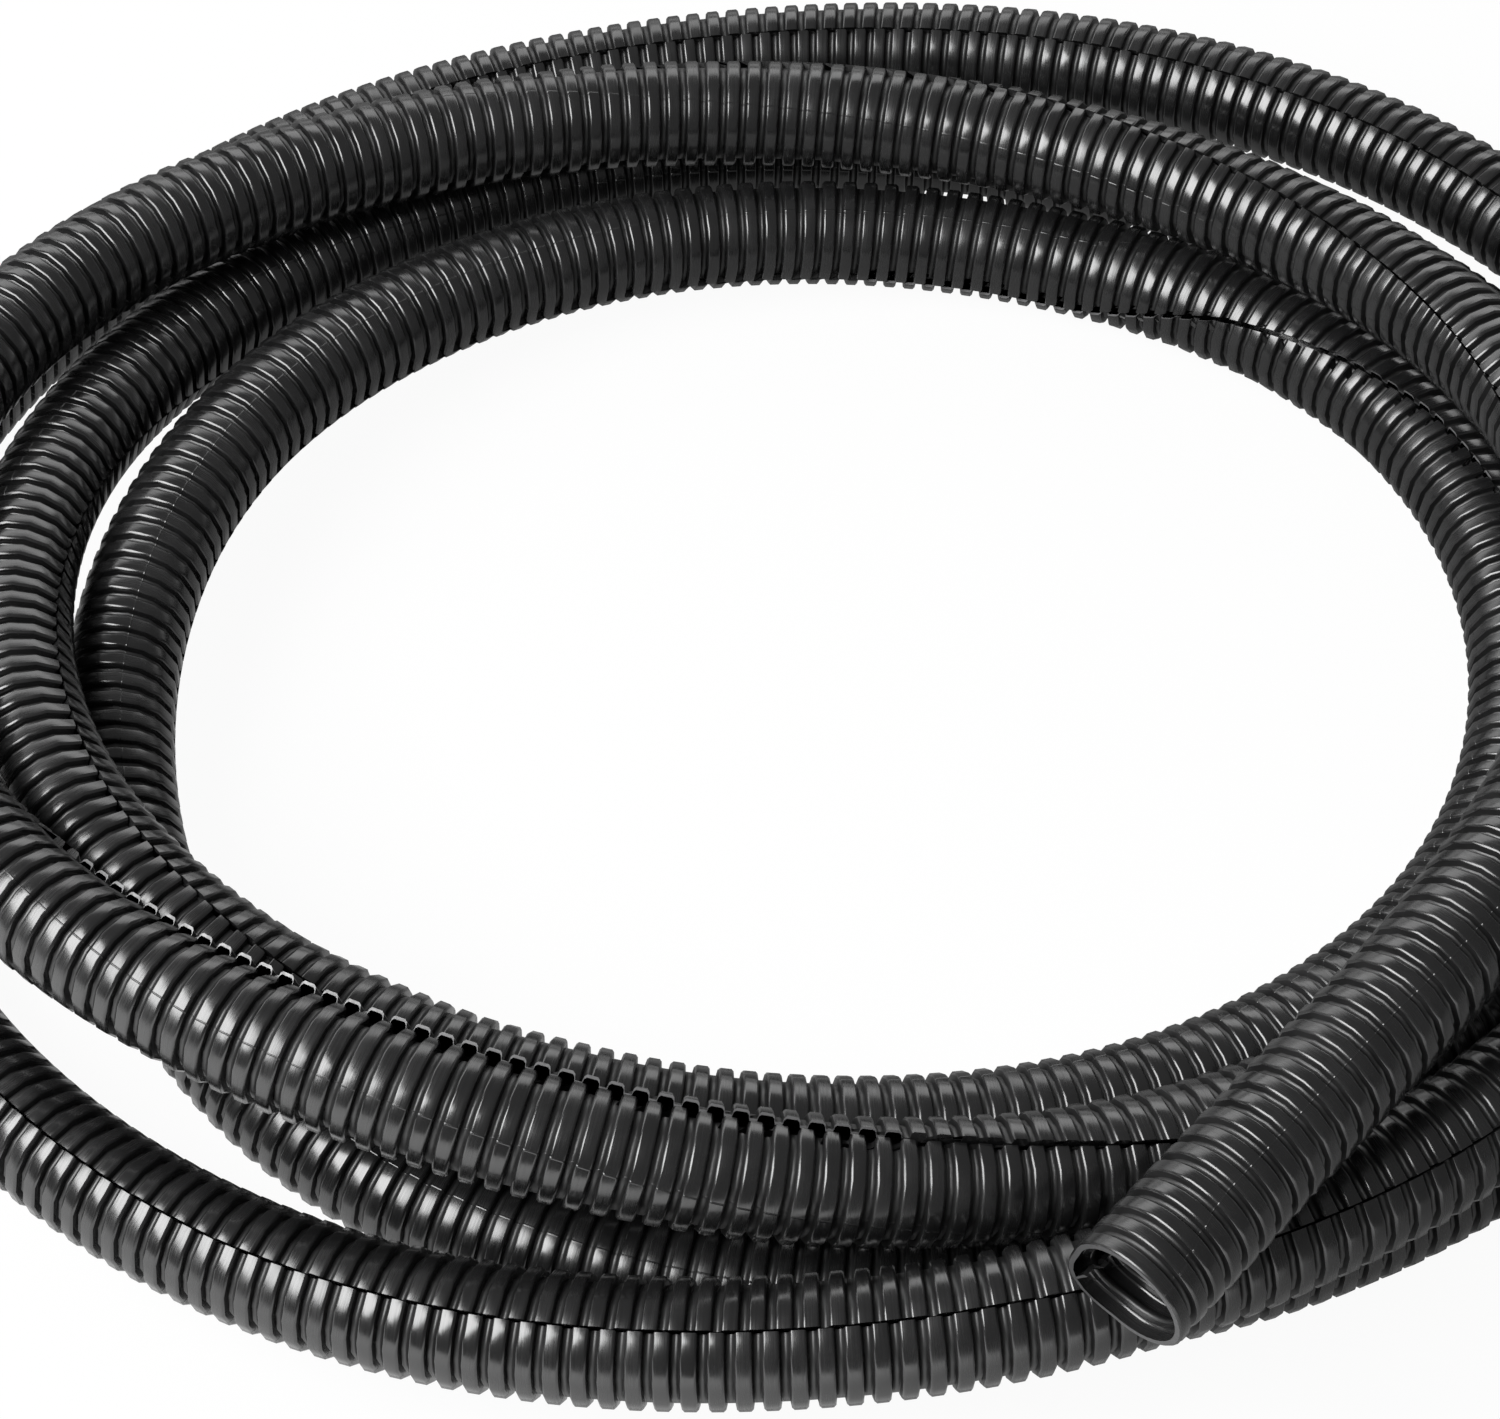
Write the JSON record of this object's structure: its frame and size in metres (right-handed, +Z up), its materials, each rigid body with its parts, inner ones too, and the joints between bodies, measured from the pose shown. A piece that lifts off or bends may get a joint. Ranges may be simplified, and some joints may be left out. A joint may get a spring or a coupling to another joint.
{
  "type": "split corrugated conduit coil",
  "caption": "Loose coil of black split corrugated conduit that cables are laid into through its lengthwise slit.",
  "frame": {"origin": "on the floor, under the middle of the coil's box", "axes": "+Z up; +X to the right of the viewer, who looks along +Y at the side where the open end lies"},
  "size_m": [0.3044, 0.2737, 0.0539],
  "materials": {
    "conduit": "satin black polyethylene"
  },
  "bodies": {
    "root": {"conduit": "conduit"}
  },
  "joints": []
}
